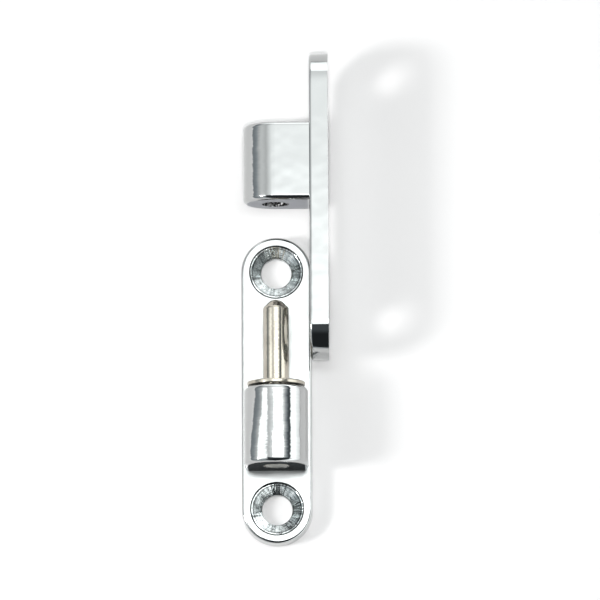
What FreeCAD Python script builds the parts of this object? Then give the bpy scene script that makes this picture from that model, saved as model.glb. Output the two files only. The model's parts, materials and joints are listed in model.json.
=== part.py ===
import FreeCAD, Part
import math
import os
import Sketcher

# A screw-on lift-off pin hinge for a small casement sash or shutter, in millimetres.
#
# Two castings from one mould, each an obround plate with a D-shaped boss on its front, turn on
# one pin.  The pin is pressed into the lower leaf's boss, a thrust washer rides loosely on it
# above that boss, and the upper leaf drops over the pin, so the sash lifts off again.  With the
# hinge together the two plates are level with each other along the pin.
#
# Frame: the lower leaf lies on its back at Z = 0, +Y runs along the pin towards its free end, and
# the origin is the middle of the lower plate's back face.  The upper leaf is stored on the pin's
# axis, turned a quarter turn so that its plate stands on the +X side, and drawn off along +Y.

SIZES = (
    ("hole_spacing", 37.0, "between the screw holes, which share their centres with the round ends"),
    ("plate_width", 11.0, "across the plate at its back face"),
    ("plate_thickness", 2.9, "back face to front face"),
    ("plate_draft", 2.0, "degrees that the plate's side wall leans in towards the front"),
    ("plate_rounding", 0.4, "radius of the plate's front edge and of the countersinks' rims"),
    ("screw_hole", 4.7, "diameter of a clearance hole for a 4 mm screw"),
    ("countersink", 8.0, "diameter of a countersink at the front face"),
    ("countersink_angle", 90.0, "whole angle of a countersink in degrees"),
    ("axis_height", 5.3, "pin axis in front of the plate's front face"),
    ("boss_radius", 4.95, "round front of the boss, about the pin axis"),
    ("boss_length", 12.2, "along the pin"),
    ("boss_rounding", 0.7, "radius of the edges at the boss's two ends"),
    ("pin_diameter", 4.0, "hinge pin"),
    ("pin_reach", 13.3, "tip of the pin beyond the middle of the lower plate"),
    ("pin_chamfer", 0.2, "at the pin's pressed end"),
    ("nose_cone", 0.8, "length of the 45 degree cone on the pin's nose"),
    ("nose_shoulder", 0.5, "radius where the pin's shaft meets the cone"),
    ("bore_clearance", 0.05, "on the radius, between the pin and what turns on it"),
    ("washer_diameter", 9.0, "thrust washer"),
    ("boss_gap", 0.85, "between the two bosses with the hinge together"),
    ("washer_thickness", 0.6, "thrust washer, so it has play between the bosses"),
    ("washer_rounding", 0.15, "radius of the washer's outer edges"),
    ("drawn_off", 27.8, "how far the stored upper leaf is drawn off along the pin"),
    ("stored_turn", 90.0, "degrees between the two plates in storage"),
)

PIN_AXIS_Z = "Sizes.plate_thickness + Sizes.axis_height"
BOSS_END_Y = "Sizes.boss_gap / 2 + Sizes.boss_length"
RUNNING_BORE = "Sizes.pin_diameter + 2 * Sizes.bore_clearance"

# How a sketch constraint names the origin, the upright axis and the points of a line or an arc.
ORIGIN = (-1, 1)
Y_AXIS = -2
START = 1
END = 2
CENTRE = 3

NEAR = 1e-4


def make_sheet(doc):
    """Write the driving sizes into a spreadsheet: name, value and meaning in each row."""
    sheet = doc.addObject("Spreadsheet::Sheet", "Sizes")
    for row, (alias, value, meaning) in enumerate(SIZES, start=1):
        sheet.set(f"A{row}", alias)
        sheet.set(f"B{row}", str(value))
        sheet.setAlias(f"B{row}", alias)
        sheet.set(f"C{row}", meaning)
    doc.recompute()
    return sheet


# Small helpers ------------------------------------------------------------------------------

def add_body(doc, label):
    body = doc.addObject("PartDesign::Body", label)
    body.Label = label
    return body


def add_sketch(body, name, plane_role, lift=None):
    """Add a sketch on an origin plane of the body, lifted along the plane's normal."""
    plane = next(item for item in body.Origin.OriginFeatures if item.Role == plane_role)
    sketch = body.newObject("Sketcher::SketchObject", name)
    sketch.AttachmentSupport = (plane, [""])
    sketch.MapMode = "FlatFace"
    if lift:
        sketch.setExpression("AttachmentOffset.Base.z", lift)
    return sketch


def bind(sketch, name, expression, kind, *elements):
    """Add a dimension to a sketch and tie its value to the spreadsheet."""
    value = float(sketch.evalExpression(expression))
    index = sketch.addConstraint(Sketcher.Constraint(kind, *elements, value))
    sketch.renameConstraint(index, name)
    sketch.setExpression(f"Constraints.{name}", expression)


def line(x1, y1, x2, y2):
    return Part.LineSegment(FreeCAD.Vector(x1, y1, 0), FreeCAD.Vector(x2, y2, 0))


def circle(x, y, radius):
    return Part.Circle(FreeCAD.Vector(x, y, 0), FreeCAD.Vector(0, 0, 1), radius)


def arc(x, y, radius, start_degrees, end_degrees):
    ends = math.radians(start_degrees), math.radians(end_degrees)
    return Part.ArcOfCircle(circle(x, y, radius), *ends)


def finish_feature(body, feature, grows):
    """Recompute and make sure the feature added or removed material, as it should."""
    base = feature.BaseFeature
    body.Document.recompute()
    change = feature.Shape.Volume - (base.Shape.Volume if base else 0.0)
    if change * (1 if grows else -1) <= NEAR:
        raise RuntimeError(f"{feature.Label} of {body.Label} changes the volume by {change}")


def pad(body, name, sketch, length, draft=None):
    """Pad a sketch; with a draft, its walls lean in on the way."""
    feature = body.newObject("PartDesign::Pad", name)
    feature.Profile = sketch
    feature.setExpression("Length", length)
    if draft:
        feature.setExpression("TaperAngle", f"-{draft}")
    finish_feature(body, feature, grows=True)


def round_edges(body, name, wanted, radius):
    """Fillet the edges of the body's tip that pass the test."""
    base = body.Tip
    names = [f"Edge{i}" for i, edge in enumerate(base.Shape.Edges, start=1) if wanted(edge)]
    feature = body.newObject("PartDesign::Fillet", name)
    feature.Base = (base, names)
    feature.setExpression("Radius", radius)
    finish_feature(body, feature, grows=False)


# The two leaves -----------------------------------------------------------------------------

def draw_plate(sketch, size):
    """The plate's outline: two half circles about the screw holes, joined by straight sides."""
    half = size("hole_spacing") / 2
    radius = size("plate_width") / 2
    top = sketch.addGeometry(arc(0, half, radius, 0, 180))
    left = sketch.addGeometry(line(-radius, half, -radius, -half))
    bottom = sketch.addGeometry(arc(0, -half, radius, 180, 360))
    right = sketch.addGeometry(line(radius, -half, radius, half))
    loop = (top, left, bottom, right)
    for here, after in zip(loop, loop[1:] + loop[:1]):
        sketch.addConstraint(Sketcher.Constraint("Tangent", here, END, after, START))
    sketch.addConstraint(Sketcher.Constraint("PointOnObject", top, CENTRE, Y_AXIS))
    sketch.addConstraint(Sketcher.Constraint("Symmetric", top, CENTRE, bottom, CENTRE, *ORIGIN))
    sketch.addConstraint(Sketcher.Constraint("Equal", top, bottom))
    bind(sketch, "end_radius", "Sizes.plate_width / 2", "Radius", top)
    bind(sketch, "spacing", "Sizes.hole_spacing", "DistanceY", bottom, CENTRE, top, CENTRE)


def draw_boss(sketch, size):
    """The boss's outline: a half circle about the pin, with straight sides down into the plate."""
    radius = size("boss_radius")
    axis = size("plate_thickness") + size("axis_height")
    root = size("plate_thickness") / 2
    front = sketch.addGeometry(arc(0, axis, radius, 0, 180))
    left = sketch.addGeometry(line(-radius, axis, -radius, root))
    base = sketch.addGeometry(line(-radius, root, radius, root))
    right = sketch.addGeometry(line(radius, root, radius, axis))
    sketch.addConstraint(Sketcher.Constraint("Tangent", front, END, left, START))
    sketch.addConstraint(Sketcher.Constraint("Coincident", left, END, base, START))
    sketch.addConstraint(Sketcher.Constraint("Coincident", base, END, right, START))
    sketch.addConstraint(Sketcher.Constraint("Tangent", right, END, front, START))
    sketch.addConstraint(Sketcher.Constraint("Vertical", left))
    sketch.addConstraint(Sketcher.Constraint("Vertical", right))
    sketch.addConstraint(Sketcher.Constraint("Horizontal", base))
    sketch.addConstraint(Sketcher.Constraint("PointOnObject", front, CENTRE, Y_AXIS))
    bind(sketch, "front_radius", "Sizes.boss_radius", "Radius", front)
    bind(sketch, "axis_height", PIN_AXIS_Z, "DistanceY", *ORIGIN, front, CENTRE)
    bind(sketch, "root_height", "Sizes.plate_thickness / 2", "DistanceY", *ORIGIN, base, START)


def draw_screw_holes(sketch, size):
    half = size("hole_spacing") / 2
    radius = size("screw_hole") / 2
    top = sketch.addGeometry(circle(0, half, radius))
    bottom = sketch.addGeometry(circle(0, -half, radius))
    sketch.addConstraint(Sketcher.Constraint("PointOnObject", top, CENTRE, Y_AXIS))
    sketch.addConstraint(Sketcher.Constraint("Symmetric", top, CENTRE, bottom, CENTRE, *ORIGIN))
    sketch.addConstraint(Sketcher.Constraint("Equal", top, bottom))
    bind(sketch, "hole_size", "Sizes.screw_hole", "Diameter", top)
    bind(sketch, "spacing", "Sizes.hole_spacing", "DistanceY", bottom, CENTRE, top, CENTRE)


def draw_bore(sketch, size, diameter):
    axis = size("plate_thickness") + size("axis_height")
    bore = sketch.addGeometry(circle(0, axis, size("pin_diameter") / 2))
    sketch.addConstraint(Sketcher.Constraint("PointOnObject", bore, CENTRE, Y_AXIS))
    bind(sketch, "bore_size", diameter, "Diameter", bore)
    bind(sketch, "axis_height", PIN_AXIS_Z, "DistanceY", *ORIGIN, bore, CENTRE)


def make_leaf(doc, size, label, bore_diameter):
    """One casting, plate on its back, its boss on the -Y half with the inner end near Y = 0."""
    body = add_body(doc, label)
    front = size("plate_thickness")
    inner_end = -size("boss_gap") / 2
    outer_end = inner_end - size("boss_length")

    outline = add_sketch(body, "plate_outline", "XY_Plane")
    draw_plate(outline, size)
    pad(body, "plate", outline, "Sizes.plate_thickness", draft="Sizes.plate_draft")

    section = add_sketch(body, "boss_section", "XZ_Plane", lift="Sizes.boss_gap / 2")
    draw_boss(section, size)
    pad(body, "boss", section, "Sizes.boss_length")

    def at_boss_end(edge):
        box = edge.BoundBox
        flat = box.YLength < NEAR and min(abs(box.YMin - inner_end), abs(box.YMin - outer_end)) < NEAR
        return flat and box.ZMax > front + NEAR

    round_edges(body, "boss_rounding", at_boss_end, "Sizes.boss_rounding")

    places = add_sketch(body, "screw_places", "XY_Plane", lift="Sizes.plate_thickness")
    draw_screw_holes(places, size)
    doc.recompute()
    hole = body.newObject("PartDesign::Hole", "countersunk_holes")
    hole.Profile = places
    hole.ThreadType = "None"
    hole.DepthType = "ThroughAll"
    hole.HoleCutType = "Countersink"
    hole.HoleCutCustomValues = True
    hole.setExpression("Diameter", "Sizes.screw_hole")
    hole.setExpression("HoleCutDiameter", "Sizes.countersink")
    hole.setExpression("HoleCutCountersinkAngle", "Sizes.countersink_angle")
    finish_feature(body, hole, grows=False)

    def at_plate_front(edge):
        box = edge.BoundBox
        flat = abs(box.ZMin - front) < NEAR and abs(box.ZMax - front) < NEAR
        beside_boss = max(-box.XMin, box.XMax) > size("boss_radius") + NEAR
        return flat and (beside_boss or edge.isClosed())

    round_edges(body, "plate_rounding", at_plate_front, "Sizes.plate_rounding")

    section = add_sketch(body, "bore_section", "XZ_Plane")
    draw_bore(section, size, bore_diameter)
    bore = body.newObject("PartDesign::Pocket", "pin_bore")
    bore.Profile = section
    bore.Type = "ThroughAll"
    bore.Reversed = True
    finish_feature(body, bore, grows=False)
    return body


def make_lower_leaf(doc, size):
    """The leaf on the frame: the pin is pressed into its bore."""
    return make_leaf(doc, size, "lower_leaf", "Sizes.pin_diameter")


def make_upper_leaf(doc, size):
    """The leaf on the sash: its bore runs on the pin.  It is turned end for end and stored."""
    body = make_leaf(doc, size, "upper_leaf", RUNNING_BORE)
    pin_axis = FreeCAD.Vector(0, 0, size("plate_thickness") + size("axis_height"))
    end_for_end = FreeCAD.Placement(FreeCAD.Vector(), FreeCAD.Rotation(FreeCAD.Vector(0, 0, 1), 180))
    turn = FreeCAD.Rotation(FreeCAD.Vector(0, -1, 0), size("stored_turn"))
    draw = FreeCAD.Vector(0, size("drawn_off"), 0)
    body.Placement = FreeCAD.Placement(draw, turn, pin_axis) * end_for_end
    return body


# The pin and the washer ---------------------------------------------------------------------

def draw_pin(sketch, size):
    """Half the pin's section: shaft, 45 degree cone and a round tip that the cone runs into."""
    radius = size("pin_diameter") / 2
    foot = -size("boss_gap") / 2 - size("boss_length")
    neck = radius - size("nose_cone")
    cone_top = size("pin_reach") - neck * (math.sqrt(2) - 1)
    shaft_top = cone_top - size("nose_cone")
    base = sketch.addGeometry(line(0, foot, radius, foot))
    shaft = sketch.addGeometry(line(radius, foot, radius, shaft_top))
    cone = sketch.addGeometry(line(radius, shaft_top, neck, cone_top))
    tip = sketch.addGeometry(arc(0, cone_top - neck, neck * math.sqrt(2), 45, 90))
    axis = sketch.addGeometry(line(0, size("pin_reach"), 0, foot))
    for here, after in ((base, shaft), (shaft, cone), (tip, axis), (axis, base)):
        sketch.addConstraint(Sketcher.Constraint("Coincident", here, END, after, START))
    sketch.addConstraint(Sketcher.Constraint("Tangent", cone, END, tip, START))
    sketch.addConstraint(Sketcher.Constraint("Horizontal", base))
    sketch.addConstraint(Sketcher.Constraint("Vertical", shaft))
    sketch.addConstraint(Sketcher.Constraint("Vertical", axis))
    sketch.addConstraint(Sketcher.Constraint("PointOnObject", axis, START, Y_AXIS))
    sketch.addConstraint(Sketcher.Constraint("PointOnObject", tip, CENTRE, Y_AXIS))
    bind(sketch, "pin_radius", "Sizes.pin_diameter / 2", "DistanceX", base, START, base, END)
    bind(sketch, "below", BOSS_END_Y, "DistanceY", base, START, *ORIGIN)
    bind(sketch, "above", "Sizes.pin_reach", "DistanceY", *ORIGIN, axis, START)
    bind(sketch, "cone_width", "Sizes.nose_cone", "DistanceX", cone, END, cone, START)
    bind(sketch, "cone_height", "Sizes.nose_cone", "DistanceY", cone, START, cone, END)


def make_pin(doc, size):
    """The hinge pin, flush with the outer end of the lower leaf's boss."""
    body = add_body(doc, "hinge_pin")
    section = add_sketch(body, "pin_section", "XY_Plane")
    draw_pin(section, size)
    turned = body.newObject("PartDesign::Revolution", "turned_pin")
    turned.Profile = section
    turned.ReferenceAxis = (section, ["V_Axis"])
    turned.Angle = 360
    finish_feature(body, turned, grows=True)

    foot = -size("boss_gap") / 2 - size("boss_length")
    radius = size("pin_diameter") / 2

    def is_ring(edge):
        box = edge.BoundBox
        return box.YLength < NEAR and abs(box.XMax - radius) < NEAR

    def at_shoulder(edge):
        return is_ring(edge) and edge.BoundBox.YMin > foot + NEAR

    round_edges(body, "shoulder", at_shoulder, "Sizes.nose_shoulder")
    base = body.Tip
    edges = enumerate(base.Shape.Edges, start=1)
    foot_rings = [f"Edge{i}" for i, edge in edges if is_ring(edge) and edge.BoundBox.YMin < foot + NEAR]
    chamfer = body.newObject("PartDesign::Chamfer", "lead_in")
    chamfer.Base = (base, foot_rings)
    chamfer.setExpression("Size", "Sizes.pin_chamfer")
    finish_feature(body, chamfer, grows=False)
    place_on_axis(body, size)
    return body


def make_washer(doc, size):
    """The thrust washer, loose on the pin and at the upper end of its play."""
    body = add_body(doc, "thrust_washer")
    ring = add_sketch(body, "ring", "XZ_Plane", lift="-Sizes.boss_gap / 2")
    for name, diameter in (("outside", "Sizes.washer_diameter"), ("inside", RUNNING_BORE)):
        start = size("washer_diameter" if name == "outside" else "pin_diameter")
        edge = ring.addGeometry(circle(0, 0, start / 2))
        ring.addConstraint(Sketcher.Constraint("Coincident", edge, CENTRE, *ORIGIN))
        bind(ring, name, diameter, "Diameter", edge)
    pad(body, "stamping", ring, "Sizes.washer_thickness")

    def at_outside(edge):
        box = edge.BoundBox
        return box.YLength < NEAR and abs(box.XMax - size("washer_diameter") / 2) < NEAR

    round_edges(body, "tumbled_edges", at_outside, "Sizes.washer_rounding")
    place_on_axis(body, size)
    return body


def place_on_axis(body, size):
    height = size("plate_thickness") + size("axis_height")
    body.Placement = FreeCAD.Placement(FreeCAD.Vector(0, 0, height), FreeCAD.Rotation())


# Checks and files ---------------------------------------------------------------------------

def check_document(doc, bodies):
    """Stop if any object failed to recompute or any body is not one valid solid."""
    for item in doc.Objects:
        bad = {"Invalid", "Error"} & set(item.State)
        if bad:
            raise RuntimeError(f"{item.Label} is {sorted(bad)}")
    for body in bodies:
        shape = body.Shape
        if shape.isNull() or not shape.isValid() or len(shape.Solids) != 1:
            raise RuntimeError(f"{body.Label} is not one valid solid")


def main():
    os.makedirs("parts", exist_ok=True)
    doc = FreeCAD.newDocument("lift_off_hinge")
    sheet = make_sheet(doc)

    def size(alias):
        return float(sheet.get(alias))

    makers = (make_lower_leaf, make_pin, make_washer, make_upper_leaf)
    bodies = [make(doc, size) for make in makers]
    doc.recompute()
    check_document(doc, bodies)
    for body in bodies:
        body.Shape.exportStep(f"parts/{body.Label}.step")
        box = body.Shape.optimalBoundingBox(False)
        print(f"{body.Label}: {box.XLength:.2f} x {box.YLength:.2f} x {box.ZLength:.2f} mm,",
              f"{body.Shape.Volume:.1f} mm3, from {box.XMin:.2f}, {box.YMin:.2f}, {box.ZMin:.2f}")


main()
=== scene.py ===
import json
import math

import bpy
from mathutils import Matrix, Vector


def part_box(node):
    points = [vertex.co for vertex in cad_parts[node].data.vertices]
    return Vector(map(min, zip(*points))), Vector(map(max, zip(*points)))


# The looks of a chrome-plated lift-off hinge, seen from above on a white table.
# Metres, in the frame of the CAD model: +Z up from the table, +Y along the hinge pin.

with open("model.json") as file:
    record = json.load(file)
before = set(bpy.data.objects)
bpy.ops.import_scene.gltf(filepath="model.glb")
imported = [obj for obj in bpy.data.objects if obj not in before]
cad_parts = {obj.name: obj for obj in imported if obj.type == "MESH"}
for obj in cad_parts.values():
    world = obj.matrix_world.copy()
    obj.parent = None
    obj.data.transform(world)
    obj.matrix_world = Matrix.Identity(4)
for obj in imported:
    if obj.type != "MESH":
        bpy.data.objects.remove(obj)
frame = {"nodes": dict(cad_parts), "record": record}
nodes = frame["nodes"]
mounts = {mount["name"]: mount for mount in frame["record"]["mounts"]}
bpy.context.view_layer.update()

MM = 0.001


# Camera -------------------------------------------------------------------------------------

VIEW_WIDTH = 92.75 * MM             # of the table, across the whole frame
CAMERA_DISTANCE = 1.5
CAMERA_TILT = math.radians(9.3)     # from straight down, leaning towards -Y
CAMERA_TURN = math.radians(4.0)     # of that lean, towards +X
CAMERA_ROLL = math.radians(-0.28)
CAMERA_TARGET = Vector((3.7, 13.75, 5.0)) * MM
SENSOR = 36.0


def add_camera():
    """A long lens almost straight above the hinge."""
    lean = math.sin(CAMERA_TILT)
    towards_camera = Vector((
        math.sin(CAMERA_TURN) * lean,
        -math.cos(CAMERA_TURN) * lean,
        math.cos(CAMERA_TILT),
    ))
    right = Vector((0, 1, 0)).cross(towards_camera).normalized()
    up = towards_camera.cross(right)
    axes = Matrix((right, up, towards_camera)).transposed()
    roll = Matrix.Rotation(CAMERA_ROLL, 3, "Z")
    lens = bpy.data.cameras.new("camera")
    lens.sensor_width = SENSOR
    lens.lens = SENSOR * CAMERA_DISTANCE / VIEW_WIDTH
    lens.clip_end = 20.0
    camera = bpy.data.objects.new("camera", lens)
    bpy.context.scene.collection.objects.link(camera)
    camera.matrix_world = Matrix.Translation(
        CAMERA_TARGET + CAMERA_DISTANCE * towards_camera
    ) @ (axes @ roll).to_4x4()
    bpy.context.scene.camera = camera


add_camera()


# Node helpers -------------------------------------------------------------------------------

class Tree:
    """A node tree with short calls that add nodes, join them and return output sockets."""

    def __init__(self, tree):
        self.tree = tree
        tree.nodes.clear()

    def add(self, kind, **settings):
        node = self.tree.nodes.new("ShaderNode" + kind)
        for name, value in settings.items():
            setattr(node, name, value)
        return node

    def feed(self, node, socket, value):
        """Set an input to a number or a colour, or link another node's output to it."""
        if isinstance(value, bpy.types.NodeSocket):
            self.tree.links.new(value, node.inputs[socket])
        else:
            node.inputs[socket].default_value = value

    def math(self, operation, *values):
        node = self.add("Math", operation=operation)
        for index, value in enumerate(values):
            self.feed(node, index, value)
        return node.outputs[0]

    def sum(self, *values):
        total = values[0]
        for value in values[1:]:
            total = self.math("ADD", total, value)
        return total

    def product(self, *values):
        total = values[0]
        for value in values[1:]:
            total = self.math("MULTIPLY", total, value)
        return total

    def length(self, a, b):
        """The length of a vector with two parts."""
        return self.math("SQRT", self.sum(self.math("POWER", a, 2.0), self.math("POWER", b, 2.0)))

    def step(self, value, low, high):
        """0 at low, 1 at high and smooth between them; low may be the larger."""
        node = self.add("MapRange", interpolation_type="SMOOTHSTEP")
        self.feed(node, "Value", value)
        self.feed(node, "From Min", low)
        self.feed(node, "From Max", high)
        return node.outputs[0]

    def span(self, value, low, high, softness):
        """1 between low and high and 0 outside, with soft ends."""
        above = self.step(value, low - softness, low + softness)
        below = self.step(value, high + softness, high - softness)
        return self.math("MULTIPLY", above, below)

    def blend(self, factor, a, b):
        """The number a where the factor is 0 and b where it is 1."""
        node = self.add("Mix", data_type="FLOAT")
        self.feed(node, 0, factor)
        self.feed(node, 2, a)
        self.feed(node, 3, b)
        return node.outputs[0]

    def colour(self, factor, a, b):
        """The colour a where the factor is 0 and b where it is 1."""
        node = self.add("Mix", data_type="RGBA")
        self.feed(node, 0, factor)
        self.feed(node, 6, (*a, 1) if isinstance(a, tuple) else a)
        self.feed(node, 7, (*b, 1) if isinstance(b, tuple) else b)
        return node.outputs[2]

    def split(self, vector):
        node = self.add("SeparateXYZ")
        self.feed(node, 0, vector)
        return tuple(node.outputs)

    def vector(self, x, y, z):
        node = self.add("CombineXYZ")
        for index, value in enumerate((x, y, z)):
            self.feed(node, index, value)
        return node.outputs[0]

    def noise(self, vector, scale=1.0, detail=2.0, roughness=0.5):
        """Fractal noise, about 0 to 1 with its middle at 0.5."""
        node = self.add("TexNoise")
        self.feed(node, "Vector", vector)
        self.feed(node, "Scale", scale)
        self.feed(node, "Detail", detail)
        self.feed(node, "Roughness", roughness)
        return node.outputs[0]

    def curve(self, value, low, high, points):
        """A piecewise straight curve through (value, level) points, between low and high."""
        top = max(level for _, level in points)
        node = self.add("ValToRGB")
        place = self.add("MapRange")
        self.feed(place, "Value", value)
        self.feed(place, "From Min", low)
        self.feed(place, "From Max", high)
        self.feed(node, 0, place.outputs[0])
        band = node.color_ramp
        while len(band.elements) < len(points):
            band.elements.new(0.5)
        for element, (at, level) in zip(band.elements, points):
            element.position = (at - low) / (high - low)
            element.color = (level / top, level / top, level / top, 1)
        return self.math("MULTIPLY", node.outputs[0], top)

    def bump(self, height):
        """A normal that follows a height given in metres."""
        node = self.add("Bump")
        self.feed(node, "Strength", 1.0)
        self.feed(node, "Distance", 1.0)
        self.feed(node, "Height", height)
        return node.outputs[0]


# The studio ---------------------------------------------------------------------------------
# A direction is given in degrees by its turn about the pin's axis, from straight up towards +X,
# and by its lean out of that plane, towards +Y.

ROOM = (
    (-180, 1.05), (-96, 1.05), (-91, 0.39), (-83, 0.39), (-78, 0.45), (-74, 0.50), (-65, 0.80),
    (-61, 0.93), (-55, 1.05), (-49, 1.05), (-37, 0.91), (-33, 0.92), (-26, 1.15), (-19, 1.40),
    (-11, 1.65), (0, 1.80), (20, 1.85), (24.5, 1.55), (28, 0.92), (32, 0.62), (36, 0.39),
    (39.5, 0.19), (43, 0.13), (49, 0.12), (50.5, 2.40), (71, 2.30), (76, 2.00), (86, 1.60),
    (91, 1.40), (96, 1.15), (180, 1.0),
)
BACKDROP = (0.93, 0.94, 0.94, 1)
PAPER = (0.885, 0.872, 0.872, 1)
LAMPLIGHT = (0.965, 1.0, 1.0)       # where the room is bright
SHADE = (0.86, 0.97, 1.04)          # and where it is dark
TABLE_SHARE = 0.12                  # of the room's light, that reaches the table
PAPER_EDGE = (0.10, 0.45)           # where the paper starts and ends its fade, from the origin


def build_world():
    """A pale room with soft panels, dark behind the camera."""
    world = bpy.data.worlds.new("studio")
    bpy.context.scene.world = world
    world.use_nodes = True
    t = Tree(world.node_tree)
    x, y, z = t.split(t.add("TexCoord").outputs["Generated"])
    degrees = 180 / math.pi
    turn = t.product(t.math("ARCTAN2", x, z), degrees)
    lean = t.product(t.math("ARCSINE", y), degrees)
    room = t.curve(turn, -180, 180, ROOM)
    room = t.product(room, t.blend(t.step(lean, 14, 48), 1.0, 0.78))
    back_panel = t.product(t.span(lean, 52, 86, 2.0), 1.2)
    corner_panel = t.product(t.span(turn, 62, 100, 6.0), t.span(lean, 38, 66, 5.0), 2.5)
    room = t.sum(room, back_panel, corner_panel)
    overhead = t.step(t.math("ABSOLUTE", turn), 62, 40)
    behind_camera = t.product(t.step(lean, -3.5, -6.0), overhead)
    darkness = t.blend(t.step(lean, -20, -40), 0.11, 0.03)
    level = t.blend(behind_camera, room, darkness)

    studio = t.add("Background")
    t.feed(studio, "Color", t.colour(t.step(level, 0.95, 0.3), LAMPLIGHT, SHADE))
    backdrop = t.add("Background")
    t.feed(backdrop, "Color", BACKDROP)
    path = t.add("LightPath")
    seen = path.outputs["Is Camera Ray"]
    level = t.product(level, t.blend(path.outputs["Is Diffuse Ray"], 1.0, TABLE_SHARE))
    t.feed(studio, "Strength", level)
    mix = t.add("MixShader")
    t.feed(mix, 0, seen)
    t.feed(mix, 1, studio.outputs[0])
    t.feed(mix, 2, backdrop.outputs[0])
    t.feed(t.add("OutputWorld"), 0, mix.outputs[0])


def facing(turn, lean=0.0):
    """The direction with a turn and a lean, in degrees."""
    turn, lean = math.radians(turn), math.radians(lean)
    return Vector((
        math.sin(turn) * math.cos(lean),
        math.sin(lean),
        math.cos(turn) * math.cos(lean),
    ))


def add_lamp(name, turn, lean, distance, size, radiance, mirrored=True):
    """A square lamp.  One that isn't mirrored lights the table and doesn't show in the metal."""
    direction = facing(turn, lean)
    light = bpy.data.lights.new(name, "AREA")
    light.size = size
    light.energy = radiance * math.pi * size * size
    lamp = bpy.data.objects.new(name, light)
    bpy.context.scene.collection.objects.link(lamp)
    lamp.location = CAMERA_TARGET + distance * direction
    lamp.rotation_euler = direction.to_track_quat("Z", "Y").to_euler()
    lamp.visible_camera = False
    lamp.visible_glossy = mirrored


def add_softbox(name, turn, distance, half_width, near, far, fades, radiance):
    """A glowing screen square to a turn, from y = near to y = far, that fades out at its edges.

    The fades are the widths of its soft edges at the sides, the near end and the far end.
    """
    mesh = bpy.data.meshes.new(name)
    corners = [(-half_width, near, 0), (half_width, near, 0), (half_width, far, 0), (-half_width, far, 0)]
    mesh.from_pydata(corners, [], [(0, 1, 2, 3)])
    screen = bpy.data.objects.new(name, mesh)
    bpy.context.scene.collection.objects.link(screen)
    screen.location = distance * facing(turn)
    screen.rotation_euler = (0, math.radians(turn), 0)
    screen.visible_camera = False
    material = bpy.data.materials.new(name)
    material.use_nodes = True
    t = Tree(material.node_tree)
    x, y, _ = t.split(t.add("TexCoord").outputs["Object"])
    side_fade, near_fade, far_fade = fades
    mask = t.product(
        t.step(t.math("ABSOLUTE", x), half_width, half_width - side_fade),
        t.step(y, near, near + near_fade),
        t.step(y, far, far - far_fade),
    )
    glow = t.add("Emission")
    t.feed(glow, "Color", (*LAMPLIGHT, 1))
    t.feed(glow, "Strength", radiance)
    mix = t.add("MixShader")
    t.feed(mix, 0, mask)
    t.feed(mix, 1, t.add("BsdfTransparent").outputs[0])
    t.feed(mix, 2, glow.outputs[0])
    t.feed(t.add("OutputMaterial"), 0, mix.outputs[0])
    mesh.materials.append(material)


def add_table():
    """A sheet of white paper that runs out into the backdrop's own glow."""
    half = 1.5
    mesh = bpy.data.meshes.new("table")
    corners = [(-half, -half, 0), (half, -half, 0), (half, half, 0), (-half, half, 0)]
    mesh.from_pydata(corners, [], [(0, 1, 2, 3)])
    table = bpy.data.objects.new("table", mesh)
    bpy.context.scene.collection.objects.link(table)
    material = bpy.data.materials.new("white_table")
    material.use_nodes = True
    t = Tree(material.node_tree)
    paper = t.add("BsdfPrincipled")
    t.feed(paper, "Base Color", PAPER)
    t.feed(paper, "Roughness", 0.75)
    x, y, _ = t.split(t.add("TexCoord").outputs["Object"])
    away = t.length(x, y)
    glow = t.add("Emission")
    t.feed(glow, "Color", BACKDROP)
    mix = t.add("MixShader")
    t.feed(mix, 0, t.step(away, *PAPER_EDGE))
    t.feed(mix, 1, paper.outputs[0])
    t.feed(mix, 2, glow.outputs[0])
    t.feed(t.add("OutputMaterial"), 0, mix.outputs[0])
    material.cycles.emission_sampling = "NONE"
    mesh.materials.append(material)


build_world()
add_lamp("key", turn=-52, lean=-9, distance=0.55, size=0.1, radiance=40)
add_lamp("overhead", turn=0.65, lean=-9.3, distance=0.55, size=0.03, radiance=416, mirrored=False)
add_softbox("key_softbox", -46, 0.6, 0.155, -0.25, 0.133, (0.065, 0.06, 0.04), 2.4)
add_softbox("top_softbox", 3.5, 0.6, 0.205, -0.052, 0.155, (0.03, 0.008, 0.06), 2.4)
add_softbox("top_lamp", 3.5, 0.59, 0.19, 0.0, 0.084, (0.02, 0.01, 0.01), 8.0)
add_table()
bpy.context.scene.view_settings.view_transform = "Standard"


# Where things are on a leaf -----------------------------------------------------------------
# Both leaves are one casting, so their finishes are laid out in the casting's own frame: its back
# at z = 0, +y along the pin with the boss on the -y side, x across the plate.

PLATE_FRONT = 2.9 * MM
PIN_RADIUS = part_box("hinge_pin")[1][0]
PIN_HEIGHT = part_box("hinge_pin")[0][2] + PIN_RADIUS
HOLE_OFFSET = mounts["lower_screws"]["dims"]["spacing_y_mm"] * MM / 2
RIM_RADIUS = 4.20 * MM              # where a countersink's rounded rim meets the flat front
SINK_PAINTED_RINGS = (                      # painted highlight and shade rings in a countersink, by radius: darker down the hole, a dark line, a bright ring and a dark rim
    (0.0, 0.5), (2.4 * MM, 0.5), (2.55 * MM, 1.0), (3.55 * MM, 1.0), (3.68 * MM, 0.4),
    (3.78 * MM, 0.4), (3.84 * MM, 2.0), (3.94 * MM, 2.0), (3.99 * MM, 0.08), (8.3 * MM, 0.08),
)
SINK_PAINTED_SIDES = (                      # and painted light and shade by the angle around it, in radians
    (-3.14, 0.9), (-2.7, 1.4), (-2.4, 2.1), (-2.0, 2.0), (-1.57, 1.8), (-1.1, 1.7), (-0.6, 1.1),
    (0.0, 0.8), (0.4, 1.1), (0.7, 2.1), (1.1, 2.1), (1.5, 1.9), (2.0, 1.6), (2.6, 0.9), (3.14, 0.9),
)
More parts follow.
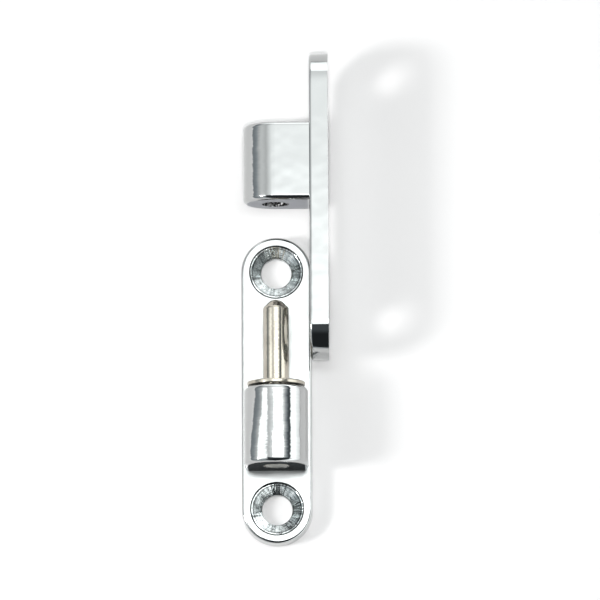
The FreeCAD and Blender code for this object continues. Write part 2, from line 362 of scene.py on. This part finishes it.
SINK_GLINTS = (                     # how far its wall is burnished flat, by the same angle
    (-3.14, 0.0), (-2.95, 0.0), (-2.75, 1.0), (-2.2, 0.95), (-1.9, 0.85), (-1.57, 0.8),
    (-1.1, 0.65), (-0.7, 0.3), (-0.3, 0.0), (0.5, 0.0), (0.8, 0.15), (1.3, 0.1), (1.6, 0.0),
    (3.14, 0.0),
)


# Finishes: colours, some of them painted light and shade, roughnesses and the depths of marks.
CHROME = (0.460, 0.466, 0.464)
CAST_DARK_PAINTED_SHADE = (0.11, 0.115, 0.12)     # the unpolished outer end of a boss, darkened as painted shade of its dark reflection
CAST_PALE_PAINTED_SHADE = (0.30, 0.305, 0.31)
END_GLANCING = (0.50, 0.51, 0.54)   # what is left of a boss end's reflections at grazing angles
# Painted shade: the outer end's grazing reflections dimmed further.
OUTER_END_GLANCING_PAINTED_SHADE = (0.20, 0.21, 0.22)
# Painted shade in a boss's bore, with specks of bright colour for its glints.
BORE_PAINTED_SHADE = (0.03, 0.03, 0.03)
BORE_GLINT = (0.95, 0.95, 0.95)
SUNK_TINT = (0.95, 1.0, 1.0)
NICKEL = (0.50, 0.465, 0.40)
NICKEL_STAINED = (0.445, 0.41, 0.35)
POLISHED = 0.05
SATIN = 0.26
FACED = 0.16
REAMED = 0.45
WAVE_DEPTH = 0.045 * MM
RING_DEPTH = 0.03 * MM
CHATTER_DEPTH = 0.20 * MM
TURNING_DEPTH = 0.004 * MM


def new_material(name):
    material = bpy.data.materials.new(name)
    material.use_nodes = True
    t = Tree(material.node_tree)
    shader = t.add("BsdfPrincipled")
    t.feed(t.add("OutputMaterial"), 0, shader.outputs[0])
    return material, t, shader


def turn_normal(t, normal, amount):
    """Turn a normal about the pin's axis by an amount, near enough in radians."""
    nx, _, nz = t.split(normal)
    across = t.vector(nz, 0.0, t.product(nx, -1.0))
    moved = t.add("VectorMath", operation="SCALE")
    t.feed(moved, 0, across)
    t.feed(moved, "Scale", amount)
    total = t.add("VectorMath", operation="ADD")
    t.feed(total, 0, normal)
    t.feed(total, 1, moved.outputs[0])
    unit = t.add("VectorMath", operation="NORMALIZE")
    t.feed(unit, 0, total.outputs[0])
    return unit.outputs[0]


def casting_frame(t, stored):
    """Place and normal in the casting's own frame; the upper leaf is stored turned."""
    coordinates = t.add("TexCoord")
    x, y, z = t.split(coordinates.outputs["Object"])
    nx, ny, nz = t.split(coordinates.outputs["Normal"])
    if stored:
        middle = mounts["upper_screws"]["pos_m"]
        x, y, z = (
            t.math("SUBTRACT", middle[2], z),
            t.math("SUBTRACT", middle[1], y),
            t.math("SUBTRACT", middle[0], x),
        )
        nx, ny, nz = (t.product(n, -1.0) for n in (nz, ny, nx))
    return (x, y, z), (nx, ny, nz)


class Casting:
    """Places, directions and masks on a leaf, in the casting's own frame."""

    def __init__(self, t, stored):
        (x, y, z), (nx, ny, nz) = casting_frame(t, stored)
        self.x, self.y, self.nx = x, y, nx
        self.place = t.vector(x, y, z)
        self.measure_around_hole(t)

        # The plate's flat front, and the countersinks and holes but not the plate's flat back.
        near_front = t.step(z, PLATE_FRONT * 1.1, PLATE_FRONT * 1.02)
        self.flat = t.product(t.step(nz, 0.985, 0.998), near_front)
        inside_rim = t.step(self.radius, RIM_RADIUS, RIM_RADIUS * 0.985)
        self.hollow = t.product(inside_rim, t.step(nz, -0.9, -0.5))

        # The boss: both ends, the outer end, the faces between the ends, and the bore.
        boss = t.step(z, PLATE_FRONT + 0.1 * MM, PLATE_FRONT + 0.4 * MM)
        along = t.math("ABSOLUTE", ny)
        self.boss_end = t.product(boss, t.step(along, 0.96, 0.99))
        self.outer_end = t.product(self.boss_end, t.step(ny, -0.5, -0.9))
        self.boss_round = t.product(boss, t.step(along, 0.7, 0.3))
        from_axis = t.length(x, t.math("SUBTRACT", z, PIN_HEIGHT))
        self.bore = t.product(t.step(from_axis, PIN_RADIUS * 1.06, PIN_RADIUS * 1.04), boss)
        self.mottle = t.noise(self.place, 1 / (0.9 * MM), 4.0, 0.6)

    def measure_around_hole(self, t):
        """Distance from the nearer screw hole's axis, and three ways to go around it."""
        from_hole = t.math("SUBTRACT", t.math("ABSOLUTE", self.y), HOLE_OFFSET)
        self.radius = t.length(self.x, from_hole)
        hole_y = t.math("SUBTRACT", self.y, t.product(t.math("SIGN", self.y), HOLE_OFFSET))
        self.around = t.math("ARCTAN2", hole_y, self.x)
        turn = (t.math("COSINE", self.around), t.math("SINE", self.around))
        broad, thin = 1 / (3.0 * MM), 1 / (0.25 * MM)
        self.rings = t.vector(t.product(self.radius, 1 / (0.16 * MM)), *turn)
        self.sectors = t.vector(*(t.product(side, 4.5) for side in turn), t.product(self.radius, broad))
        self.streaks = t.vector(*(t.product(side, 2.5) for side in turn), t.product(self.radius, thin))


def chrome_roughness(t, leaf):
    rough = t.blend(leaf.flat, POLISHED, t.sum(SATIN, t.product(leaf.mottle, 0.08)))
    rough = t.blend(leaf.boss_end, rough, FACED)
    rough = t.blend(leaf.outer_end, rough, t.sum(FACED, t.product(leaf.mottle, 0.30)))
    rough = t.blend(leaf.hollow, rough, t.sum(0.06, t.product(leaf.mottle, 0.20)))
    return t.blend(leaf.bore, rough, REAMED)


def chrome_relief(t, leaf):
    """Slow waves all over, and turning rings and chatter in the countersinks."""
    waves = t.product(t.noise(leaf.place, 1 / (3.2 * MM), 1.0), WAVE_DEPTH)
    rings = t.product(t.noise(leaf.rings, 1.0, 3.0), RING_DEPTH)
    chatter = t.product(t.noise(leaf.sectors, 1.0, 2.0), CHATTER_DEPTH)
    return t.bump(t.sum(waves, t.product(t.sum(rings, chatter), leaf.hollow)))


def belt_marks(t, leaf, normal, stored):
    """Marks that run around the boss and push its reflections to and fro."""
    arc = t.product(leaf.x, 1 / (1.4 * MM))
    fine = t.noise(t.vector(arc, t.product(leaf.y, 1 / (0.20 * MM)), 0.0), 1.0, 2.0)
    broad = t.noise(t.vector(arc, t.product(leaf.y, 1 / (1.6 * MM)), 7.0), 1.0, 2.0)
    push = t.sum(t.product(fine, 0.13), t.product(broad, 0.10), -0.145)
    if not stored:
        # An extra twist bends the reflections on one side of the lower leaf's boss.
        twist = t.sum(t.product(t.step(leaf.y, -2.0 * MM, -11.0 * MM), 0.20), -0.05)
        worn_side = t.product(t.step(leaf.nx, -0.22, -0.50), t.step(leaf.nx, -0.98, -0.88))
        push = t.sum(push, t.product(twist, worn_side))
    curved = t.product(leaf.boss_round, t.step(t.math("ABSOLUTE", leaf.nx), 0.995, 0.93))
    return turn_normal(t, normal, t.product(push, curved))


def burnished_patch(t, leaf):
    """Where a countersink's wall is burnished flat and catches the lamp."""
    patch = t.product(t.curve(leaf.around, -math.pi, math.pi, SINK_GLINTS), leaf.hollow)
    patch = t.product(patch, t.step(leaf.radius, RIM_RADIUS * 0.99, RIM_RADIUS * 0.93))
    return t.product(patch, t.step(t.noise(leaf.streaks, 1.3, 3.0, 0.6), 0.28, 0.50))


def burnish(t, normal, patch, stored):
    """Mix a normal towards the plate's front where the patch is."""
    front = t.add("VectorTransform", vector_type="NORMAL", convert_from="OBJECT", convert_to="WORLD")
    t.feed(front, 0, (-1.0, 0.0, 0.0) if stored else (0.0, 0.0, 1.0))
    mixed = t.add("Mix", data_type="VECTOR")
    t.feed(mixed, 0, patch)
    t.feed(mixed, 4, normal)
    t.feed(mixed, 5, front.outputs[0])
    return mixed.outputs[1]


def sunk_stains_and_painted_light(t, leaf, patch):
    """Random stains in a countersink, with painted highlight and shade rings by radius and painted light
    and shade by side.
    """
    # Painted highlight and shade rings by radius, and painted light and shade by side; the stain is
    # random tone.
    rings = t.curve(leaf.radius, 0.0, 2 * RIM_RADIUS, SINK_PAINTED_RINGS)
    painted_sides = t.curve(leaf.around, -math.pi, math.pi, SINK_PAINTED_SIDES)
    stain = t.sum(
        0.57,
        t.product(t.step(t.noise(leaf.sectors, 1.4, 2.0), 0.35, 0.65), 0.50),
        t.product(t.step(t.noise(leaf.streaks, 1.2, 3.0, 0.7), 0.40, 0.62), 0.40),
    )
    tone = t.product(rings, painted_sides, stain, t.blend(patch, 0.46, 0.20))
    colour = t.add("CombineColor")
    for index, share in enumerate(SUNK_TINT):
        t.feed(colour, index, t.math("MINIMUM", t.product(tone, share), 1.0))
    return colour.outputs[0]


# Chrome's colour, with painted shade on the bosses' outer ends and in the bores, and painted light and
# shade in the countersinks.
def chrome_colour_and_painted_light(t, leaf, patch):
    # Painted shade on a boss's outer end, with a random cast speckle.
    cast = t.step(t.noise(leaf.place, 1 / (0.5 * MM), 4.0, 0.7), 0.35, 0.75)
    tone = t.colour(leaf.outer_end, CHROME, t.colour(cast, CAST_DARK_PAINTED_SHADE, CAST_PALE_PAINTED_SHADE))
    tone = t.colour(leaf.hollow, tone, sunk_stains_and_painted_light(t, leaf, patch))
    # Painted shade in the bore, with bright specks for glints.
    glints = t.step(t.noise(leaf.place, 1 / (0.4 * MM), 2.0), 0.50, 0.60)
    return t.colour(leaf.bore, tone, t.colour(glints, BORE_PAINTED_SHADE, BORE_GLINT))


def chrome_material(name, stored):
    material, t, shader = new_material(name)
    leaf = Casting(t, stored)
    patch = burnished_patch(t, leaf)
    normal = belt_marks(t, leaf, chrome_relief(t, leaf), stored)
    glancing = t.colour(leaf.boss_end, (1.0, 1.0, 1.0), END_GLANCING)
    t.feed(shader, "Roughness", chrome_roughness(t, leaf))
    t.feed(shader, "Normal", burnish(t, normal, patch, stored))
    # The outer end's grazing reflections are dimmed as painted shade.
    t.feed(shader, "Specular Tint", t.colour(leaf.outer_end, glancing, OUTER_END_GLANCING_PAINTED_SHADE))
    t.feed(shader, "Base Color", chrome_colour_and_painted_light(t, leaf, patch))
    t.feed(shader, "Metallic", 1.0)
    return material


def nickel_material(name, roughness, reach):
    """Nickel with turning marks around the pin's axis; the reach is their length along it."""
    material, t, shader = new_material(name)
    x, y, z = t.split(t.add("TexCoord").outputs["Object"])
    around = t.math("ARCTAN2", x, t.math("SUBTRACT", z, PIN_HEIGHT))
    along = t.product(y, 1 / reach)
    marks = t.noise(t.vector(along, t.product(around, 0.6), 0.0), 1.0, 3.0, 0.6)
    stain = t.noise(t.vector(t.product(around, 1.5), t.product(y, 1 / (2.5 * MM)), 5.0), 1.0, 3.0)
    wander = t.noise(t.vector(t.product(around, 1.5), along, 9.0))
    push = t.product(t.sum(wander, -0.5), 0.16)
    t.feed(shader, "Normal", turn_normal(t, t.bump(t.product(marks, TURNING_DEPTH)), push))
    t.feed(shader, "Roughness", t.sum(roughness, t.product(marks, 0.10)))
    t.feed(shader, "Base Color", t.colour(t.step(stain, 0.35, 0.65), NICKEL_STAINED, NICKEL))
    t.feed(shader, "Metallic", 1.0)
    return material


def dress(node, material):
    mesh = nodes[node].data
    mesh.materials.clear()
    mesh.materials.append(material)


dress("lower_leaf", chrome_material("chrome_lower_leaf", stored=False))
dress("upper_leaf", chrome_material("chrome_upper_leaf", stored=True))
dress("hinge_pin", nickel_material("turned_nickel", 0.07, 0.25 * MM))
dress("thrust_washer", nickel_material("stamped_nickel", 0.15, 0.12 * MM))
